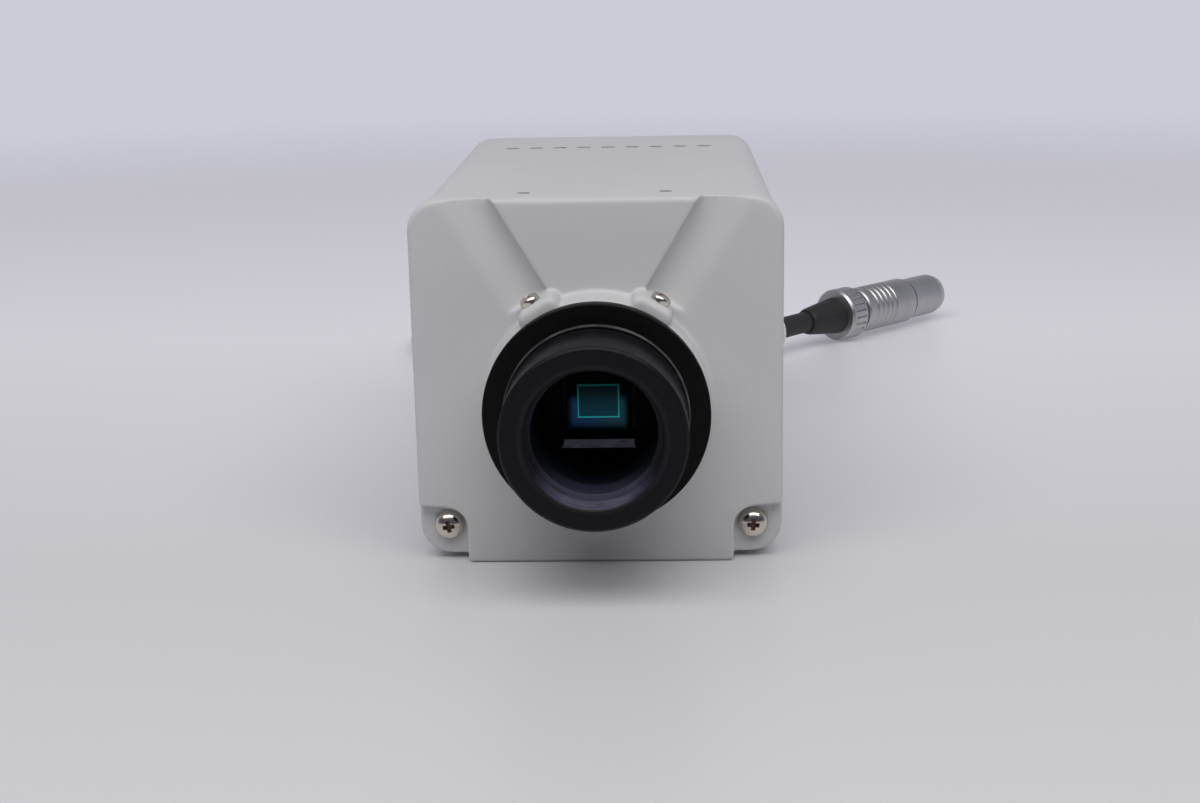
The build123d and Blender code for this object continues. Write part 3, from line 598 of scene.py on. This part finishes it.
def cast_copy(node):
    """A casting's mesh with the soft edges that moulding and enamel give it."""
    mesh = NODES[node].data.copy()
    made = add_object(node + "_cast", mesh)
    cleaned(mesh, 1e-6, mend=False)
    remesh = made.modifiers.new("remesh", "REMESH")
    remesh.mode = "VOXEL"
    remesh.voxel_size = CAST_VOXEL * MM
    soften = made.modifiers.new("soften", "SMOOTH")
    soften.factor = 0.5
    soften.iterations = CAST_SMOOTHING
    shown = made.evaluated_get(bpy.context.evaluated_depsgraph_get())
    made.data = bpy.data.meshes.new_from_object(shown)
    made.modifiers.clear()
    smooth(made.data)
    made.data.materials.clear()
    made.data.materials.append(MATERIALS[SLOT_OF[node]])
    return stand_for(made, node, "root")


cast_copy("front_casting")

# ---- nose and back-focus ring ---------------------------------------------------------
THREAD_PITCH = 25.4 / 32        # C-mount, 1-32 UN
THREAD_HEIGHT = 0.42
THREAD_RADIUS = 12.45
THREAD_DEPTH = 5.0
THREAD_STEP = 0.09
THREAD_MOUTH = 0.5              # depth of the chamfer ahead of the thread
THREAD_RUNOUT = 0.1             # plain wall at either end of the thread
NOSE_BORE = 11.4
NOSE_SHOULDER = 15.08           # distances from the front end
NOSE_LENGTH = 21.98
SLEEVE_RADIUS = 14.95


def helix(start, end):
    """Relief of the vee thread between two heights, fading out at both ends."""
    def relief(radius, z, turn):
        phase = (z / THREAD_PITCH - turn) % 1.0
        fade = max(0.0, min(1.0, (z - start) / THREAD_PITCH, (end - z) / THREAD_PITCH))
        return radius + THREAD_HEIGHT * fade * (abs(2 * phase - 1) - 0.5)
    return relief


def steps_between(start, end, step):
    count = math.ceil(abs(end - start) / step)
    return [start + (end - start) * k / count for k in range(count + 1)]


def make_nose():
    """The barrel: a threaded bore in a wide head, and the sleeve that runs in the ring."""
    place, outer = turned_node("nose_tube")
    edge = 0.5
    back_edge = 0.3
    shell = eased([
        (THREAD_RADIUS, THREAD_DEPTH), (THREAD_RADIUS, THREAD_MOUTH),
        (THREAD_RADIUS + THREAD_MOUTH, 0), (outer - edge, 0), (outer, edge),
        (outer, NOSE_SHOULDER - back_edge), (outer - back_edge, NOSE_SHOULDER),
        (SLEEVE_RADIUS, NOSE_SHOULDER), (SLEEVE_RADIUS, NOSE_LENGTH),
        (NOSE_BORE, NOSE_LENGTH), (NOSE_BORE, THREAD_DEPTH + back_edge)])
    first = THREAD_MOUTH + THREAD_RUNOUT
    last = THREAD_DEPTH - THREAD_RUNOUT
    wall = [(THREAD_RADIUS, height) for height in steps_between(last, first, THREAD_STEP)]
    outline = wall + shell[EASE_STEPS + 1:]     # the wall is in the place of the first corner
    body = lathe(outline, helix(THREAD_MOUTH, last))
    return piece("nose_barrel", [body], BARREL_BLACK, "nose_tube", place, "nose")


def make_focus_ring():
    """The back-focus ring: a thin front lip, a wide flange, and a hub with the groove that
    the lock screws' tips stand in."""
    place, outer = turned_node("focus_ring")
    bore, lip, hub = 15.0, 17.25, 18.45         # radii
    face, back, groove, end = 0.65, 3.25, 7.02, 9.42
    edge = 0.25
    back_edge = 0.3
    groove_depth = 0.8
    groove_floor, groove_mouth = 1.15, 1.4      # half widths
    outline = eased([
        (bore, 0), (lip - edge, 0), (lip, edge), (lip, face), (outer - edge, face),
        (outer, face + edge), (outer, back - back_edge), (outer - back_edge, back), (hub, back),
        (hub, groove - groove_mouth), (hub - groove_depth, groove - groove_floor),
        (hub - groove_depth, groove + groove_floor), (hub, groove + groove_mouth),
        (hub, end), (bore, end)])
    return piece("back_focus_ring", [lathe(outline)], RING_BLACK, "focus_ring", place, "focus_ring")


make_nose()
make_focus_ring()

# ---- screws -------------------------------------------------------------------------
SCREW_STEPS = 144
DOME_RINGS = 18
TIP_RADIUS = 0.001              # closes a surface at its axis
ARM_HALF = 0.14                 # a recess arm's half width, over the head's radius
RECESS_DEPTH = 0.5              # over the head's height
RECESS_FLOOR = (0.4, 0.8, 0.93)     # rings over the recess's own width, like the next three
RIM_INSIDE = 0.985
RIM_OUTSIDE = 1.03
DOME_START = 1.06
RIM_DROP = 0.07                 # depth of the rim's bevel


def cross_edge(turn, arm, half):
    """Distance from the middle of a cross recess to its edge."""
    c, s = abs(math.cos(2 * math.pi * turn)), abs(math.sin(2 * math.pi * turn))
    c, s = max(c, s), min(c, s)
    return min(arm / c, half / max(s, 1e-6))


def screw(radius, height, shank, length, flat=False, turn=0.0, power=2.1, arm=0.38):
    """A cross-recessed screw: seat at z = 0 with a domed head above, or countersunk below. A
    higher power makes a squarer head; arm is the recess's half length over the radius."""
    turns = [k / SCREW_STEPS for k in range(SCREW_STEPS)]
    edge = [cross_edge(t, arm * radius, ARM_HALF * radius) for t in turns]

    def dome(r):
        return 0.0 if flat else height * (1 - min(1.0, r / radius) ** power) ** (1 / power)

    def ring(radii, level):
        """Points round the axis; level gives the height at a radius."""
        angles = [2 * math.pi * t + turn for t in turns]
        return [(r * math.cos(a), r * math.sin(a), level(r)) for r, a in zip(radii, angles)]

    def circle(r, z):
        return ring([r] * SCREW_STEPS, lambda _: z)

    depth = RECESS_DEPTH * height
    floor = dome(0) - depth
    rings = [circle(TIP_RADIUS, floor - 0.1 * depth)]
    rings += [ring([share * e for e in edge], lambda _: floor) for share in RECESS_FLOOR]
    rings.append(ring([RIM_INSIDE * e for e in edge], lambda r: dome(r) - RIM_DROP))
    recess = (len(rings) - 1) * SCREW_STEPS
    rings.append(ring([RIM_OUTSIDE * e for e in edge], dome))
    for k in range(1, DOME_RINGS + 1):
        share = math.sin(math.pi / 2 * k / DOME_RINGS)
        rings.append(ring([(1 - share) * e * DOME_START + share * radius for e in edge], dome))
    under = ((radius, -0.15), (shank, -height)) if flat else ((radius, 0), (shank, 0))
    tip = ((shank, -length), (0.7 * shank, -length), (TIP_RADIUS, -length))
    rings += [circle(r, z) for r, z in (*under, *tip)]
    verts = [v for points in rings for v in points]
    return verts, ring_faces(len(rings), SCREW_STEPS, closed=False), recess


def screw_group(name, node, places, **sizes):
    """Several like screws in one piece. places holds (point, direction, turn)."""
    shells = [moved(screw(turn=turn, **sizes), Matrix.Translation(Vector(point)) @ facing(direction))
              for point, direction, turn in places]
    return piece(name, shells, MATERIALS["nickel"], node, sharp=40.0, second=MATERIALS["screw_recess"])


FRONT_SCREW = (29.4, 7.0)           # from the middle, and height
FRONT_SCREW_TURNS = {-1: 0.17, 1: -0.09}
POCKET_FLOOR = 2.5                  # behind the front casting's face
COVER_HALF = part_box("top_cover")[1].x / MM
COVER_SCREW_HEIGHT = 43.0
COVER_SCREW_Y = (8.2, 109.0)        # behind the front casting's face, like the next
BASE_SCREW_Y = (8.5, 109.0)
BASE_SCREW_X = 20
FAN_HEIGHT = 45.0
FAN_SCREW_REACH = 16                # half the side of the square that they stand on
FAN_HEAD = 1.6


def make_front_screws():
    """Pan heads in the front casting's two corner pockets."""
    across, height = FRONT_SCREW
    places = [((side * across, FACE_Y + POCKET_FLOOR, height), (0, -1, 0), turn)
              for side, turn in FRONT_SCREW_TURNS.items()]
    screw_group("front_screw_pair", "front_screws", places,
                radius=3.0, height=2.2, shank=1.5, length=9)


def make_cover_screws():
    """Low heads that hold the cover's sides, two each side."""
    places = [((side * COVER_HALF, FACE_Y + y, COVER_SCREW_HEIGHT), (side, 0, 0), 0.4 * side + y)
              for y in COVER_SCREW_Y for side in (-1, 1)]
    screw_group("cover_screw_set", "cover_screws", places,
                radius=2.6, height=1.25, shank=1.4, length=3.6)


def make_base_screws():
    """Countersunk heads, flush with the underside."""
    places = [((x, FACE_Y + y, 0.05), (0, 0, -1), x + y)
              for x in (-BASE_SCREW_X, BASE_SCREW_X) for y in BASE_SCREW_Y]
    screw_group("base_screw_set", "base_screws", places,
                radius=2.95, height=1.65, shank=1.5, length=7, flat=True)


def make_fan_screws():
    """Pan heads on the guard's four feet."""
    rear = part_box("fan_screws")[1].y / MM - FAN_HEAD
    offsets = (-FAN_SCREW_REACH, FAN_SCREW_REACH)
    places = [((x, rear, FAN_HEIGHT + rise), (0, 1, 0), x * 1.3 + rise)
              for x in offsets for rise in offsets]
    screw_group("fan_screw_set", "fan_screws", places,
                radius=2.9, height=FAN_HEAD, shank=1.4, length=9)


LOCK_LEAN = 30.5                    # degrees either side of upright, about the lens axis
LOCK_SEAT = 23.3                    # distances from the lens axis
LOCK_TIP = 17.85
LOCK_Y = -4.0                       # from the front casting's face, which is behind it
LOCK_TURNS = {-1: 0.35, 1: 0.9}


def make_lock_screw(side, node):
    """A square-shouldered head that clamps the back-focus ring, on its own body."""
    lens_x, lens_z = node_axis("nose_tube")
    lean = math.radians(side * LOCK_LEAN)
    out = Vector((math.sin(lean), 0, math.cos(lean)))
    seat = Vector((lens_x, FACE_Y + LOCK_Y, lens_z)) + out * LOCK_SEAT
    shell = screw(radius=1.95, height=1.5, shank=1.0, length=LOCK_SEAT - LOCK_TIP,
                  turn=LOCK_TURNS[side], power=3.6, arm=0.62)
    place = Matrix.Translation(seat * MM) @ facing(out)
    piece(node + "_detail", [shell], MATERIALS["nickel"], node, place, node, 40.0,
          MATERIALS["screw_recess"])


make_front_screws()
make_cover_screws()
make_base_screws()
make_fan_screws()
make_lock_screw(-1, "lock_screw_left")
make_lock_screw(1, "lock_screw_right")

# ---- floor and light ------------------------------------------------------------------
# This section's lengths are in metres.
FLOOR_COLOUR = (0.68, 0.677, 0.69)
FLOOR_RADIUS = 1.3
FLOOR_FADE = (0.45, 0.95)
FLOOR_STEPS = 96
FLOOR_DROP = 0.0001
REAR_GLOW = (0.15, 0.148, 0.165)    # in place of a second lamp over the table's rear
REAR_FADE = (-0.05, 0.16)
AIR_COLOUR = (0.604, 0.604, 0.69)
CEILING = (0.2, 0.2, 0.215)
ROOM = (0.085, 0.085, 0.1)
TABLE_FAR = (0.4, 0.4, 0.42)
ROOM_TURN = (-0.55, 0.3)            # from the room in front to the backdrop behind
KEY_PLACE = (0.0, -0.42, 0.76)
KEY_TARGET = (0, -0.03, 0.03)
KEY_SIZE = (1.35, 0.6)
KEY_POWER = 7.0
KEY_COLOUR = (1.0, 0.99, 0.985)


def floor_finish():
    """A pale table top, brighter to the rear, that fades out before its edge."""
    g = Finish("floor")
    rear = g.between(g.axes()[1], 0.0, 1.0, *REAR_FADE)
    g.set(colour=FLOOR_COLOUR, rough=0.34, specular=0.35, glow=g.mix(rear, BLANK, REAR_GLOW),
          glow_power=1.0)
    distance = g.node("VectorMath", {0: g.where}, operation="LENGTH").outputs["Value"]
    fade = g.between(distance, 0.0, 1.0, *FLOOR_FADE, interpolation_type="SMOOTHSTEP")
    clear = g.node("BsdfTransparent").outputs[0]
    return g.surface(g.node("MixShader", {0: fade, 1: g.shader.outputs[0], 2: clear}).outputs[0])


def make_floor():
    """A round floor just under the object."""
    angles = [2 * math.pi * k / FLOOR_STEPS for k in range(FLOOR_STEPS)]
    verts = [(FLOOR_RADIUS * math.cos(a), FLOOR_RADIUS * math.sin(a), 0) for a in angles]
    mesh = bpy.data.meshes.new("floor")
    mesh.from_pydata(verts, [], [tuple(range(FLOOR_STEPS))])
    mesh.materials.append(floor_finish())
    floor = add_object("floor", mesh)
    floor.location.z = -FLOOR_DROP


def make_key():
    """The one lamp: a wide soft box over the front of the table."""
    data = bpy.data.lights.new("key", "AREA")
    data.shape = "RECTANGLE"
    data.size, data.size_y = KEY_SIZE
    data.energy = KEY_POWER
    data.color = KEY_COLOUR
    away = Vector(KEY_PLACE) - Vector(KEY_TARGET)
    add_object("key", data).matrix_world = Matrix.Translation(Vector(KEY_PLACE)) @ facing(away)


def sky_ramp(g, height, stops):
    """Colour up one side of the studio; stops are (sine of the elevation, colour)."""
    ramp = g.node("ValToRGB", {"Fac": g.between(height, 0.0, 1.0, -1.0, 1.0)})
    elements = ramp.color_ramp.elements
    lowest, *others, highest = [((sine + 1) / 2, (*colour, 1)) for sine, colour in stops]
    for position, colour in others:
        elements.new(position).color = colour
    for element, (position, colour) in zip((elements[0], elements[-1]), (lowest, highest)):
        element.position = position
        element.color = colour
    return ramp.outputs["Color"]


def make_world():
    """A studio: pale backdrop behind the object, dim room in front of it, grey ceiling."""
    world = bpy.data.worlds.new("studio")
    g = Graph(world)
    bpy.context.scene.world = world
    _, y, z = g.node("SeparateXYZ", {0: g.node("TexCoord").outputs["Generated"]}).outputs
    back = sky_ramp(g, z, [(0.05, AIR_COLOUR), (0.4, scaled(AIR_COLOUR, 0.7)), (0.95, CEILING)])
    room = sky_ramp(g, z, [(-0.06, TABLE_FAR), (0.0, ROOM), (0.42, ROOM), (0.6, CEILING),
                           (0.95, CEILING)])
    side = g.between(y, 0.0, 1.0, *ROOM_TURN, interpolation_type="SMOOTHSTEP")
    g.tree.links.new(g.mix(side, room, back), g.tree.nodes["Background"].inputs["Color"])


make_floor()
make_world()
make_key()
bpy.context.scene.view_settings.view_transform = "Standard"
